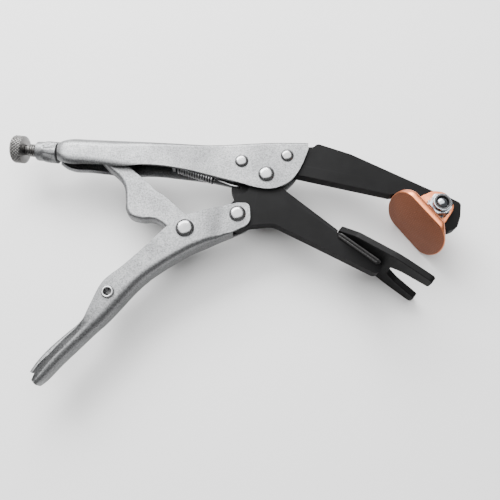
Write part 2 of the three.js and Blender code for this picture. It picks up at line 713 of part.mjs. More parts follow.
addPiece('release_lever', releaseLever(), 'nickel');
addPiece('release_lever_rivet', hollowRivet(LEVER_PIVOT, 9), 'rivet');
addPiece('return_spring', returnSpring(), 'spring');
addPiece('copper_pad', copperPad(), 'copper');
addPiece('pad_bolt', padBolt(), 'zinc');
addPiece('pad_nut', padNut(), 'zinc');
addPiece('pad_nut_insert', nutInsert(), 'nylon');
addPiece('pad_lock_washer', lockWasher(), 'zinc');
addPiece('pad_head_washer', headWasher(), 'zinc');

const box = new THREE.Box3().setFromObject(group);
const centre = box.getCenter(new THREE.Vector3());
group.position.set(-centre.x, -centre.y, -box.min.z);

export default group;
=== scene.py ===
"""Looks of the plug-weld locking pliers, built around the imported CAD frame.

Shapes are drawn in millimetres about the main pivot, as X towards the jaws, Y across the open
handles and Z through the tool, and placed in the row frame by the jaw pivot's own position.
"""
import json
import math
import random

import bmesh
import bpy
import numpy as np
from mathutils import Matrix, Vector


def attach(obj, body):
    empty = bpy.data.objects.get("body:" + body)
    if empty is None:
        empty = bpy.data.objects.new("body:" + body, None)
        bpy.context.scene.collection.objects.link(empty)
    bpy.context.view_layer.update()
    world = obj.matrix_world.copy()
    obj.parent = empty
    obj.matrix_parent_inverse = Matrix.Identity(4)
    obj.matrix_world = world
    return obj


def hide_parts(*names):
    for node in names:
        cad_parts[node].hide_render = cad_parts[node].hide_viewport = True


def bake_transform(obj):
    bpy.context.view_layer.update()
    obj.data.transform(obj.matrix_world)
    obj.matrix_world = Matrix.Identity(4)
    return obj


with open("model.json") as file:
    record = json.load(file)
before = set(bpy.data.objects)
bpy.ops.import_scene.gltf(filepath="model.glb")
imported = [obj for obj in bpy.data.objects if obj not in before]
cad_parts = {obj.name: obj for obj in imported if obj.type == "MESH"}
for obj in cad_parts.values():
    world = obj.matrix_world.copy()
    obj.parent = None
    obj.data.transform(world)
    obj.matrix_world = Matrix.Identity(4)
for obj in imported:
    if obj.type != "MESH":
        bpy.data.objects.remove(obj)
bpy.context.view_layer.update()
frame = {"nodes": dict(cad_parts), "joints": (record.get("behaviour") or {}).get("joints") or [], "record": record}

MM = 0.001
JOINTS = {joint["name"]: joint for joint in frame["joints"]}
ORIGIN = Vector(JOINTS["jaw_pivot"]["pos_m"])

# ---- Driving sizes, in millimetres ---------------------------------------------------------------

GAP = 0.3
SHEET = 2.0
LINK_SHEET = 1.6
JAW_HALF = 3.75
CHEEK_HALF = JAW_HALF + GAP + SHEET
TUBE_HALF = 9.2
GRIP_HALF = 8.5
LINK_HALF = 5.2
LEVER_HALF = 4.4


def pivot(joint):
    """A joint's place in the tool's own plane, in millimetres."""
    offset = (Vector(JOINTS[joint]["pos_m"]) - ORIGIN) / MM
    return (offset.x, offset.y)


MAIN_PIVOT = (0.0, 0.0)
HANDLE_PIVOT = pivot("handle_pivot")
LINK_PIVOT = pivot("link_pivot")
LEVER_PIVOT = pivot("release_lever_pivot")
PAD_PIVOT = pivot("pad_swivel")
UPPER_RIVET_REAR = (-16.0, 9.4)
UPPER_RIVET_FRONT = (13.9, 13.4)
SPRING_REAR = (-61.0, 8.2)
SPRING_FRONT = (-17.8, -7.2)

SCREW_START = pivot("knob_turn")
SCREW_SLOPE = math.radians(-6)
SCREW_RADIUS = 4.3
SCREW_PITCH = 1.5
SCREW_LENGTH = 49.4
KNOB_RADIUS = 9.2
KNOB_LENGTH = 8.6
BOSS_START = 7.6
KNURL_TEETH = 26
KNURL_DEPTH = 0.55
NECK_LOBES = 5
NECK_PRESS = 1.25

FORK_SEAT = (51.3, -44.8)
FORK_ANGLE = math.radians(-38)
WELD_START = -7.6
WELD_LENGTH = 31.5
WELD_LEG = 3.2

PAD_SEAT = (87.9, -23.9)
PAD_ANGLE = math.radians(-53)
PAD_THICKNESS = 4.8
PAD_HALF = 22.0
PAD_STRAIGHT = 22.6
PAD_BULGE = 11.6
PAD_RIM = 0.9
PAD_SLOPE = 7.6
WEB_THICKNESS = 3.0
PAD_FILLET = 3.0
PAD_SIDE_FILLET = 1.7

# Holes, and how far a cutting pin reaches either way.
PIVOT_HOLE = 4.2
RIVET_HOLE = 3.5
LINK_HOLE = 3.8
LEVER_HOLE = 3.2
PAD_HOLE = 4.3
REACH = 12

# Edge rounding: width, segments and the angle from which an edge counts as sharp.
PRESSED_EDGE = (0.35, 3, 40)
LEVER_EDGE = (0.3, 3, 40)
FORGED_EDGE = (0.45, 3, 30)
WEB_EDGE = (0.5, 3, 30)


def place(x, y, z=0.0):
    """A point of the tool's own millimetres in the row frame, in metres."""
    return ORIGIN + Vector((x, y, z)) * MM


# ---- Materials -----------------------------------------------------------------------------------


class Nodes:
    """A small helper that adds and links shader nodes."""

    def __init__(self, name):
        self.material = bpy.data.materials.new(name)
        self.material.use_nodes = True
        self.tree = self.material.node_tree
        self.shader = self.tree.nodes["Principled BSDF"]
        self.coordinates = self.add("ShaderNodeTexCoord").outputs["Object"]

    def add(self, kind, **inputs):
        """A node of one kind, with values for its inputs."""
        node = self.tree.nodes.new(kind)
        for key, value in inputs.items():
            node.inputs[key.replace("_", " ")].default_value = value
        return node

    def link(self, source, target):
        """Joins an output to an input."""
        self.tree.links.new(source, target)

    def noise(self, scale, detail=4.0, roughness=0.55, stretch=None):
        """Noise from 0 to 1, optionally turned and stretched."""
        node = self.add("ShaderNodeTexNoise", Scale=scale, Detail=detail, Roughness=roughness)
        vector = self.coordinates
        if stretch:
            mapping = self.add("ShaderNodeMapping")
            mapping.inputs["Rotation"].default_value = stretch[0]
            mapping.inputs["Scale"].default_value = stretch[1]
            self.link(vector, mapping.inputs["Vector"])
            vector = mapping.outputs["Vector"]
        self.link(vector, node.inputs["Vector"])
        return node.outputs["Fac"]

    def grooves(self, scale, turn):
        """Straight, slightly uneven lines, turned about the three axes."""
        mapping = self.add("ShaderNodeMapping")
        mapping.inputs["Rotation"].default_value = turn
        self.link(self.coordinates, mapping.inputs["Vector"])
        node = self.add("ShaderNodeTexWave", Scale=scale, Distortion=2.2, Detail=2.0)
        node.inputs["Detail Scale"].default_value = 1.6
        self.link(mapping.outputs["Vector"], node.inputs["Vector"])
        return node.outputs["Fac"]

    def ramp(self, factor, stops):
        """A factor turned into a color by its stops."""
        node = self.add("ShaderNodeValToRGB")
        ramp = node.color_ramp
        while len(ramp.elements) < len(stops):
            ramp.elements.new(0.5)
        for element, (position, color) in zip(ramp.elements, stops):
            element.position = position
            element.color = (*color, 1)
        self.link(factor, node.inputs["Fac"])
        return node.outputs["Color"]

    def spread(self, factor, low, high):
        """A factor from 0 to 1 taken to a range."""
        node = self.add("ShaderNodeMapRange")
        node.inputs["To Min"].default_value = low
        node.inputs["To Max"].default_value = high
        self.link(factor, node.inputs["Value"])
        return node.outputs["Result"]

    def mix(self, factor, a, b, mode="MIX"):
        """Two colors mixed, each a socket or a plain value."""
        node = self.tree.nodes.new("ShaderNodeMix")
        node.data_type = "RGBA"
        node.blend_type = mode
        for socket, value in ((node.inputs[0], factor), (node.inputs[6], a), (node.inputs[7], b)):
            if isinstance(value, bpy.types.NodeSocket):
                self.link(value, socket)
            else:
                socket.default_value = (*value, 1) if isinstance(value, tuple) else value
        return node.outputs[2]

    def bump(self, height, distance, strength, under=None):
        """A surface relief, on top of another if given."""
        node = self.add("ShaderNodeBump", Strength=strength, Distance=distance)
        self.link(height, node.inputs["Height"])
        if under is not None:
            self.link(under, node.inputs["Normal"])
        return node.outputs["Normal"]

    def edge_wear_and_highlight(self, inside, outside):
        """Where the mesh is convex, from 0 in the flats to 1 along its edges."""
        geometry = self.add("ShaderNodeNewGeometry")
        node = self.add("ShaderNodeMapRange")
        node.inputs["From Min"].default_value = inside
        node.inputs["From Max"].default_value = outside
        self.link(geometry.outputs["Pointiness"], node.inputs["Value"])
        return node.outputs["Result"]

    def set(self, **values):
        for key, value in values.items():
            socket = self.shader.inputs[key.replace("_", " ")]
            if isinstance(value, bpy.types.NodeSocket):
                self.link(value, socket)
            else:
                socket.default_value = (*value, 1) if isinstance(value, tuple) else value
        return self.material


def nickel():
    """Dull nickel plate over blasted steel: cloudy patches, coarse grain and fine specks."""
    n = Nodes("satin_nickel")
    cloud = n.noise(46, 4)
    grain = n.noise(1150, 3, 0.7)
    specks = n.noise(2600, 2, 0.6)
    base = n.ramp(cloud, [(0.32, (0.125, 0.127, 0.13)), (0.7, (0.19, 0.193, 0.195))])
    dots = n.ramp(grain, [(0.34, (0.4, 0.4, 0.4)), (0.5, (0.95, 0.95, 0.95)), (0.68, (1.4, 1.4, 1.4))])
    color = n.mix(0.8, base, dots, "MULTIPLY")
    rough = n.spread(n.noise(420, 3), 0.36, 0.50)
    normal = n.bump(specks, 0.00003, 0.5, n.bump(grain, 0.00008, 0.55))
    return n.set(Base_Color=color, Metallic=0.9, Roughness=rough, Normal=normal)


def steel(name, low, high, rough):
    """Bright steel with fine machining grain."""
    n = Nodes(name)
    color = n.ramp(n.noise(60, 3), [(0.3, low), (0.7, high)])
    roughness = n.spread(n.noise(600, 3), rough - 0.05, rough + 0.08)
    normal = n.bump(n.noise(1800, 3), 0.00003, 0.4)
    return n.set(Base_Color=color, Metallic=1.0, Roughness=roughness, Normal=normal)


def black_oxide():
    """Matte black finish on forged steel, worn a little along its edges."""
    n = Nodes("black_oxide")
    grain = n.noise(1500, 4, 0.65)
    base = n.ramp(n.noise(70, 4), [(0.3, (0.0022, 0.0022, 0.0023)), (0.72, (0.0040, 0.0040, 0.0042))])
    worn = n.mix(n.edge_wear_and_highlight(0.54, 0.66), base, (0.012, 0.012, 0.0125))
    roughness = n.spread(n.noise(260, 4), 0.42, 0.56)
    normal = n.bump(grain, 0.00005, 0.45, n.bump(n.noise(110, 4), 0.00018, 0.35))
    return n.set(Base_Color=worn, Specular_IOR_Level=0.06, Roughness=roughness, Normal=normal)


def weld_black():
    """Dark, coarse weld metal."""
    n = Nodes("weld_black")
    color = n.ramp(n.noise(500, 4), [(0.3, (0.005, 0.005, 0.005)), (0.75, (0.022, 0.021, 0.021))])
    normal = n.bump(n.noise(900, 4), 0.0001, 0.6)
    return n.set(Base_Color=color, Metallic=0.3, Roughness=0.42, Normal=normal)


# The pad's gripping face is scored both ways, at 45 degrees to its length.
KNURL_SCALE = 190
KNURL_TURN = math.radians(34.4)
KNURL_TILTS = (math.radians(59), math.radians(-59))


def copper(name, low, high, rim, score, grooves=False):
    """Bare copper with fine slanting lines, or with the crossed grooves of the gripping face. Its convex edges
    take a lighter rim colour, partly rubbed-bright wear and partly a painted highlight.
    """
    n = Nodes(name)
    if grooves:
        crossed = n.add("ShaderNodeMath")
        crossed.operation = "MINIMUM"
        for socket, tilt in zip(crossed.inputs, KNURL_TILTS):
            n.link(n.grooves(KNURL_SCALE, (0.0, tilt, KNURL_TURN)), socket)
        scores = crossed.outputs["Value"]
    else:
        scores = n.noise(900, 3, 0.6, ((0.0, 0.0, math.radians(-20)), (1.0, 0.22, 0.35)))
    tone = n.ramp(n.noise(48, 4), [(0.3, low), (0.72, high)])
    lines = n.ramp(scores, [(0.1, (0.3, 0.27, 0.26)), (0.55, (1.15, 1.15, 1.15))])
    color = n.mix(score, tone, lines, "MULTIPLY")
    # Lighter rim colour along convex edges: partly rubbed-bright wear, partly a painted highlight.
    bright = n.mix(n.edge_wear_and_highlight(0.51, 0.58), color, rim)
    normal = n.bump(scores, 0.00011, 0.7, n.bump(n.noise(1500, 3), 0.00003, 0.5))
    if grooves:
        return n.set(Base_Color=bright, Metallic=0.4, Specular_IOR_Level=0.15, Roughness=0.6, Normal=normal)
    roughness = n.spread(n.noise(300, 3), 0.34, 0.5)
    return n.set(Base_Color=bright, Metallic=1.0, Roughness=roughness, Normal=normal)


def nylon():
    """The nut's dark locking insert."""
    n = Nodes("dark_nylon")
    color = n.ramp(n.noise(300, 2), [(0.3, (0.012, 0.012, 0.013)), (0.7, (0.02, 0.02, 0.021))])
    normal = n.bump(n.noise(1200, 2), 0.00003, 0.3)
    return n.set(Base_Color=color, Roughness=0.5, Normal=normal)


MATERIALS = {
    "nickel": nickel(),
    "screw_steel": steel("turned_steel", (0.10, 0.098, 0.095), (0.17, 0.167, 0.163), 0.32),
    "black_steel": black_oxide(),
    "rivet_steel": steel("rivet_steel", (0.19, 0.192, 0.195), (0.27, 0.272, 0.275), 0.24),
    "weld": weld_black(),
    "spring_steel": steel("spring_steel", (0.34, 0.34, 0.345), (0.5, 0.5, 0.51), 0.28),
    "copper": copper("bare_copper", (0.40, 0.115, 0.047), (0.56, 0.175, 0.078), (0.72, 0.28, 0.14), 0.3),
    "zinc": steel("bright_zinc", (0.22, 0.235, 0.255), (0.33, 0.35, 0.375), 0.2),
    "nylon": nylon(),
}
# The gripping face's copper is a far darker copy of the bare copper: its dark tone is painted shade, while its
# crossed grooves are real. Its lighter rim along the edges is partly wear, partly a painted highlight.
SCORED_COPPER_PAINTED_SHADE = copper("scored_copper_painted_shade", (0.075, 0.021, 0.011), (0.115, 0.034, 0.018),
                       (0.45, 0.17, 0.09), 1.0, grooves=True)
SLOTS = {entry["node"]: entry["material_slot"] for entry in frame["record"]["subparts"]}
BODY_OF = {node: body for body, nodes in frame["record"]["behaviour"]["bodies"].items() for node in nodes}

# ---- Mesh tools ----------------------------------------------------------------------------------


def mesh_object(name, vertices, faces):
    """An object from points in the tool's own millimetres."""
    mesh = bpy.data.meshes.new(name)
    mesh.from_pydata([place(*vertex) for vertex in vertices], [], faces)
    obj = bpy.data.objects.new(name, mesh)
    bpy.context.scene.collection.objects.link(obj)
    tidy = bmesh.new()
    tidy.from_mesh(mesh)
    bmesh.ops.remove_doubles(tidy, verts=tidy.verts, dist=1e-7)
    bmesh.ops.recalc_face_normals(tidy, faces=tidy.faces)
    tidy.to_mesh(mesh)
    tidy.free()
    return obj


def copy_of_node(node, name):
    """The CAD node's own solid, with its flat faces whole again."""
    obj = bpy.data.objects.new(name, frame["nodes"][node].data.copy())
    bpy.context.scene.collection.objects.link(obj)
    obj.data.materials.clear()
    tidy = bmesh.new()
    tidy.from_mesh(obj.data)
    bmesh.ops.remove_doubles(tidy, verts=tidy.verts, dist=2e-6)
    bmesh.ops.dissolve_limit(tidy, angle_limit=math.radians(0.6), verts=tidy.verts, edges=tidy.edges)
    tidy.to_mesh(obj.data)
    tidy.free()
    return obj


def apply_modifiers(obj):
    """Makes the object's modifiers part of its mesh."""
    graph = bpy.context.evaluated_depsgraph_get()
    graph.update()
    mesh = bpy.data.meshes.new_from_object(obj.evaluated_get(graph))
    obj.modifiers.clear()
    obj.data = mesh


def combine(obj, tools, operation):
    """Joins tools to a solid or cuts them from it, and removes the tools."""
    for tool in tools:
        modifier = obj.modifiers.new("combine", "BOOLEAN")
        modifier.operation = operation
        modifier.solver = "EXACT"
        modifier.object = tool
    apply_modifiers(obj)
    for tool in tools:
        bpy.data.objects.remove(tool)


def soften(obj, width, segments=2, angle=35):
    """Rounds the sharp edges, then shades smoothly between them."""
    if width > 0:
        modifier = obj.modifiers.new("bevel", "BEVEL")
        modifier.width = width * MM
        modifier.segments = segments
        modifier.limit_method = "ANGLE"
        modifier.angle_limit = math.radians(angle)
        modifier.use_clamp_overlap = True
        apply_modifiers(obj)
    obj.data.polygons.foreach_set("use_smooth", [True] * len(obj.data.polygons))
    obj.data.set_sharp_from_angle(angle=math.radians(angle))
    if width > 0:
        modifier = obj.modifiers.new("flat faces", "WEIGHTED_NORMAL")
        modifier.mode = "FACE_AREA"
        modifier.weight = 100
        modifier.keep_sharp = True
        apply_modifiers(obj)


def finish_piece(obj, node, bevel=0.25, segments=2, angle=35, blend=None):
    """Softens a piece, gives it its finish and puts it in the place of its CAD node."""
    soften(obj, bevel, segments, angle)
    slot = SLOTS[node]
    obj.data.materials.clear()
    obj.data.materials.append(MATERIALS[slot])
    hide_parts(node)
    if blend:
        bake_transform(obj)
    else:
        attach(obj, BODY_OF[node])


def rounded(points, steps=7):
    """A closed outline; a point with a third value is rounded to that radius."""
    corners = []
    count = len(points)
    for i, point in enumerate(points):
        here = Vector(point[:2])
        radius = point[2] if len(point) > 2 else 0
        if not radius:
            corners.append(here)
            continue
        before = Vector(points[i - 1][:2]) - here
        after = Vector(points[(i + 1) % count][:2]) - here
        half = before.angle(after) / 2
        reach = min(radius / math.tan(half), before.length * 0.49, after.length * 0.49)
        start = here + before.normalized() * reach
        end = here + after.normalized() * reach
        for step in range(steps + 1):
            t = step / steps
            corners.append(start * (1 - t) ** 2 + here * 2 * t * (1 - t) + end * t * t)
    kept = []
    for corner in corners:
        if not kept or (corner - kept[-1]).length > 0.02:
            kept.append(corner)
    return kept


def plate(name, outline, low, high):
    """An outline in the tool's plane, extruded along Z."""
    size = len(outline)
    vertices = [(x, y, low) for x, y in outline] + [(x, y, high) for x, y in outline]
    faces = [list(range(size))[::-1], list(range(size, 2 * size))]
    faces += [(i, (i + 1) % size, size + (i + 1) % size, size + i) for i in range(size)]
    return mesh_object(name, vertices, faces)


def polar(radius, angle, height):
    """A point given by its radius and angle about Z."""
    return (radius * math.cos(angle), radius * math.sin(angle), height)


def ring_faces(rows, size, wrap=False):
    """Quads between neighbouring rings of equal size, and from the last to the first if wrapped."""
    faces = []
    for row in range(rows if wrap else rows - 1):
        after = (row + 1) % rows
        for i in range(size):
            j = (i + 1) % size
            faces.append((row * size + i, row * size + j, after * size + j, after * size + i))
    return faces


def pin(center, radius, low, high, sides=48):
    """A round bar along Z, mostly for cutting holes."""
    ring = [(center[0] + radius * math.cos(a), center[1] + radius * math.sin(a))
            for a in np.linspace(0, 2 * math.pi, sides, endpoint=False)]
    return plate("pin", ring, low, high)


def turned(profile, sides=64):
    """Points and faces of a solid of revolution about Z. A profile that starts off the axis is
    closed on itself, so its last point repeats its first."""
    closed = profile[0][0] > 1e-6
    rows = profile[:-1] if closed else profile
    vertices = [polar(radius, 2 * math.pi * i / sides, height)
                for radius, height in rows for i in range(sides)]
    return vertices, ring_faces(len(rows), sides, closed)


def arc(center, radius, start, end, steps):
    """Points of an arc, in degrees, for a turned profile."""
    return [(center[0] + radius * math.cos(math.radians(a)), center[1] + radius * math.sin(math.radians(a)))
            for a in np.linspace(start, end, steps + 1)]


def moved(vertices, matrix):
    """Points taken through a matrix."""
    return [tuple(matrix @ Vector(vertex)) for vertex in vertices]


def on_screw_axis(distance=0.0):
    """From a piece turned about Z to the adjusting screw's axis."""
    x, y = SCREW_START
    along = Vector((math.cos(SCREW_SLOPE), math.sin(SCREW_SLOPE), 0))
    turn = Matrix.Rotation(SCREW_SLOPE, 4, "Z") @ Matrix.Rotation(math.pi / 2, 4, "Y")
    return Matrix.Translation(Vector((x, y, 0)) + along * distance) @ turn


def standing(seat, angle):
    """From (along, out, z) in a slanting plane to the tool's own axes."""
    return Matrix.Translation((seat[0], seat[1], 0)) @ Matrix.Rotation(angle, 4, "Z")


# ---- Pressed channels ----------------------------------------------------------------------------


def smooth_rows(rows, places):
    """Values between a table's rows, on smooth curves. The first column is each row's place."""
    table = np.array(rows, float)
    knots, values = table[:, 0], table[:, 1:]
    slopes = np.gradient(values, knots, axis=0)
    result = []
    for t in places:
        i = int(np.clip(np.searchsorted(knots, t, "right") - 1, 0, len(knots) - 2))
        width = knots[i + 1] - knots[i]
        s = (t - knots[i]) / width
        result.append((2 * s**3 - 3 * s**2 + 1) * values[i] + (s**3 - 2 * s**2 + s) * width * slopes[i]
                      + (3 * s**2 - 2 * s**3) * values[i + 1] + (s**3 - s**2) * width * slopes[i + 1])
    return result


def half_section(depth, spine_half, lip_half, corner, curl, wrap, inset, lip_steps, corner_steps):
    """Half of a channel's section, from its lip to the middle of its spine, as (depth, z)."""
    points = []
    curl_radius = max(curl - inset, 0)
    curl_z = lip_half - curl - max(inset - curl, 0)
    curl_depth = depth - curl * math.sin(wrap)
    for a in np.linspace(wrap, 0, lip_steps + 1) if lip_steps else [0.0]:
        points.append((curl_depth + curl_radius * math.sin(a), curl_z + curl_radius * math.cos(a)))
    radius = max(corner - inset, 0.2)
    for b in np.linspace(0, math.pi / 2, corner_steps + 1):
        points.append((corner - radius * math.sin(b), spine_half - corner + radius * math.cos(b)))
    points.append((inset, 0))
    return points


def channel(name, stations, sheet, lip_steps, corner_steps):
    """A channel through stations of (spine, lip, spine half, lip half, corner, curl, wrap)."""
    rings = []
    for spine, lip, spine_half, lip_half, corner, curl, wrap in stations:
        spine = Vector(spine)
        inward = Vector(lip) - spine
        depth = inward.length
        inward.normalize()
        ring = []
        for inset in (0, sheet):
            near = half_section(depth, spine_half, lip_half, corner, curl, wrap, inset,
                                lip_steps, corner_steps)
            skin = near + [(d, -z) for d, z in near[-2::-1]]
            ring.append([(*(spine + inward * d), z) for d, z in skin])
        rings.append(ring[0] + ring[1][::-1])
    size = len(rings[0])
    faces = ring_faces(len(rings), size)
    last = (len(rings) - 1) * size
    for j in range(size // 2 - 1):
        faces.append((j + 1, j, size - 1 - j, size - 2 - j))
        faces.append((last + j, last + j + 1, last + size - 2 - j, last + size - 1 - j))
    return mesh_object(name, [vertex for ring in rings for vertex in ring], faces)


# Place along X, crown height, lip height, half width, crown corner, lip roll and its angle.
FIXED_HANDLE_ROWS = [
    (-137.5, 25.2, 11.8, 7.2, 6.2, 5, 1.3),
    (-134, 26.4, 9.4, 8.5, 7.2, 5, 1.3),
    (-130, 27.2, 7.9, TUBE_HALF, 8, 5, 1.25),
    (-118, 26.9, 7.1, TUBE_HALF, 8, 5, 1.1),
    (-106, 26.3, 6.1, TUBE_HALF, 8, 5, 0.9),
    (-96, 25.6, 4.9, TUBE_HALF, 7.4, 4.6, 0.85),
    (-88, 24.8, 4.9, TUBE_HALF, 6.4, 3.4, 0.6),
    (-80, 24.0, 5.5, TUBE_HALF, 5.4, 1.6, 0.3),
    (-70, 23.1, 5.1, TUBE_HALF, 4.6, 0.2, 0.1),
    (-60, 22.4, 3.8, 9, 4, 0, 0),
    (-48, 21.9, 1.7, 8, 3.4, 0, 0),
    (-38, 21.9, -0.4, 6.6, 2.8, 0, 0),
    (-28, 22.3, -2.9, CHEEK_HALF, 2.6, 0, 0),
    (-14, 23.1, -7, CHEEK_HALF, 2.6, 0, 0),
    (-7, 23.5, -9.2, CHEEK_HALF, 2.6, 0, 0),
    (0, 23.8, -10.3, CHEEK_HALF, 2.6, 0, 0),
    (5, 24, -10, CHEEK_HALF, 2.6, 0, 0),
    (10, 24, -8.2, CHEEK_HALF, 2.6, 0, 0),
    (15, 24, -5, CHEEK_HALF, 2.6, 0, 0),
    (19, 24, -0.8, CHEEK_HALF, 2.6, 0, 0),
    (22.5, 23.9, 5, CHEEK_HALF, 2.6, 0, 0),
    (25.4, 23.9, 11.5, CHEEK_HALF, 2.6, 0, 0),
    (28, 23.8, 18.6, CHEEK_HALF, 2.6, 0, 0),
]

# Along the handle: spine point, lip point, half width at the spine and at the lip, spine corner.
LOWER_HANDLE_ROWS = [
    (0, -22.6, -41, -16, -33, CHEEK_HALF, CHEEK_HALF, 2.6),
    (1, -30, -44.2, -26, -23.6, CHEEK_HALF, CHEEK_HALF, 2.6),
    (2, -38.5, -47.9, -37.4, -25.4, 8.2, 8.3, 4.0),
    (3, -47, -51.8, -46, -28.2, GRIP_HALF, GRIP_HALF, 4.6),
    (4, -55, -56.6, -55, -31.4, GRIP_HALF, GRIP_HALF, 5),
    (5, -63, -61.8, -63.6, -38.6, GRIP_HALF, GRIP_HALF, 5.2),
    (6, -73.2, -69.6, -76.5, -52, GRIP_HALF, 8.6, 5.6),
    (7, -81.4, -78, -87.6, -62.8, GRIP_HALF, 8.8, 6),
    (8, -88.6, -86.8, -98.8, -73, GRIP_HALF, 9, 6),
    (9, -96, -95.6, -104.8, -86.6, 8, 9, 6),
    (10, -103.4, -103, -109.6, -98.2, 7.6, 9, 5.8),
    (11, -112, -111.6, -118.2, -107.4, 7.6, 9, 5),
    (12, -121, -121, -126.6, -117.4, 7.2, 8.8, 4.6),
    (13, -129, -130, -132.6, -126, 6.6, 7.8, 3.6),
    (13.6, -132.6, -132.8, -134.6, -130.2, 5.8, 6.4, 2.6),
]

# From the nose to the pivot: spine side, then open side.
LINK_ROWS = [
    (0, -110.6, 14.2, -105.2, 19.6),
    (1, -108.4, 10, -98.8, 15),
    (2, -103.4, 5.2, -92, 8),
    (3, -96, -1.6, -85.4, 1.8),
    (4, -91.8, -9, -80, -2.8),
    (5, -90.4, -18, -75.2, -7.3),
    (6, -90, -23.6, -71, -11.6),
    (7, -87, -28.6, -66, -14.7),
    (8, -80.4, -30.8, -60.6, -19.6),
    (9, -72.8, -30.9, -55.4, -24.4),
    (10, -66.6, -34, -50, -29.6),
    (11, -60.4, -40.2, -45.4, -34.4),
    (12, -55, -44.6, -44.2, -38.6),
]

# From the nose under the link to the thumb end: spine, lip and spine corner.
LEVER_ROWS = [
    (0, -69, -54.6, -67.2, -56.6, 1.9),
    (1, -78, -61.8, -75.8, -64.6, 2.4),
    (2, -88.4, -69.8, -84.2, -75, 2.6),
    (3, -99.4, -77.6, -91.6, -83.8, 2.6),
    (4, -106.4, -87.4, -100.4, -91, 2.6),
    (5, -111.9, -96.2, -108.1, -98.4, 2.6),
    (6, -119.6, -103.4, -116.6, -105.9, 2.6),
    (7, -127.2, -110.8, -124.5, -113.2, 2.4),
    (8, -133.4, -118.4, -131.6, -119.8, 2),
    (9, -137.4, -125, -135.7, -126, 1.9),
]


def fixed_handle():
    """The curled tube and cheeks, with a tongue inside that holds the spring."""
    places = [*np.linspace(-137.5, -130, 9), *np.linspace(-127, -40, 34), *np.linspace(-37, 28, 34)]
    stations = [((x, top), (x, bottom), half, half, corner, max(curl, 0), max(wrap, 0))
                for x, (top, bottom, half, corner, curl, wrap)
                in zip(places, smooth_rows(FIXED_HANDLE_ROWS, places))]
    obj = channel("fixed_handle_shell", stations, SHEET, 5, 8)
    hook_x, hook_y = SPRING_REAR
    tongue_low, tongue_high = hook_y - 1.8, hook_y + 13.5
    side = SHEET / 2
    tongue = plate("tongue", [Vector(p) for p in (
        (hook_x - side, tongue_low), (hook_x + side, tongue_low),
        (hook_x + side, tongue_high), (hook_x - side, tongue_high))], -3.5, 2.2)
    combine(obj, [tongue], "UNION")
    cuts = [pin(MAIN_PIVOT, PIVOT_HOLE, -REACH, REACH), pin(UPPER_RIVET_REAR, RIVET_HOLE, -REACH, REACH),
            pin(UPPER_RIVET_FRONT, RIVET_HOLE, -REACH, REACH)]
    combine(obj, cuts, "DIFFERENCE")
    finish_piece(obj, "fixed_handle", *PRESSED_EDGE)


def lower_handle():
    """The long grip, with an ear on each side for the rivet to the lower jaw."""
    places = np.linspace(0, 13.6, 70)
    stations = [((sx, sy), (lx, ly), spine_half, lip_half, corner, 0, 0)
                for sx, sy, lx, ly, spine_half, lip_half, corner in smooth_rows(LOWER_HANDLE_ROWS, places)]
    obj = channel("lower_handle_shell", stations, SHEET, 0, 8)
    px, py = HANDLE_PIVOT
    ear = rounded([
        (px + 7.6, py + 7.4, 7), (px + 8.2, py - 6.4, 7), (-22.8, -40.4, 1), (-31, -42), (-34, -24.8),
        (px - 6.5, py + 6.2, 4), (px, py + 7.6, 4),
    ], 10)
    ears = [plate("ear", ear, low, low + SHEET) for low in (CHEEK_HALF - SHEET, -CHEEK_HALF)]
    combine(obj, ears, "UNION")
    cuts = [pin(HANDLE_PIVOT, PIVOT_HOLE, -REACH, REACH), pin(LINK_PIVOT, LINK_HOLE, -REACH, REACH),
            pin(LEVER_PIVOT, LEVER_HOLE, -REACH, REACH)]
    combine(obj, cuts, "DIFFERENCE")
    finish_piece(obj, "lower_handle", *PRESSED_EDGE)


def toggle_link():
    """The link from the lower handle to the tip of the adjusting screw."""
    places = np.linspace(0, 12, 60)
    stations = [((sx, sy), (lx, ly), LINK_HALF, LINK_HALF, 2.8, 0, 0)
                for sx, sy, lx, ly in smooth_rows(LINK_ROWS, places)]
    obj = channel("toggle_link_channel", stations, LINK_SHEET, 0, 7)
    combine(obj, [pin(LINK_PIVOT, LINK_HOLE, -REACH, REACH)], "DIFFERENCE")
    finish_piece(obj, "toggle_link", *PRESSED_EDGE)


def release_lever():
    """The small lever inside the lower handle's tail."""
    places = np.linspace(0, 9, 46)
    stations = [((sx, sy), (lx, ly), LEVER_HALF, LEVER_HALF, corner, 0, 0)
                for sx, sy, lx, ly, corner in smooth_rows(LEVER_ROWS, places)]
    obj = channel("release_lever_channel", stations, LINK_SHEET, 0, 6)
    combine(obj, [pin(LEVER_PIVOT, LEVER_HOLE, -REACH, REACH)], "DIFFERENCE")
    finish_piece(obj, "release_lever", *LEVER_EDGE)


# ---- Jaws, fork and welds ------------------------------------------------------------------------


def forged_plates():
    """The jaws and the fork keep their CAD outlines and gain eased edges."""
    bars = [("upper_jaw", "upper_jaw_bar"), ("lower_jaw", "lower_jaw_bar"), ("fork_plate", "fork_blade")]
    for node, name in bars:
        finish_piece(copy_of_node(node, name), node, *FORGED_EDGE)


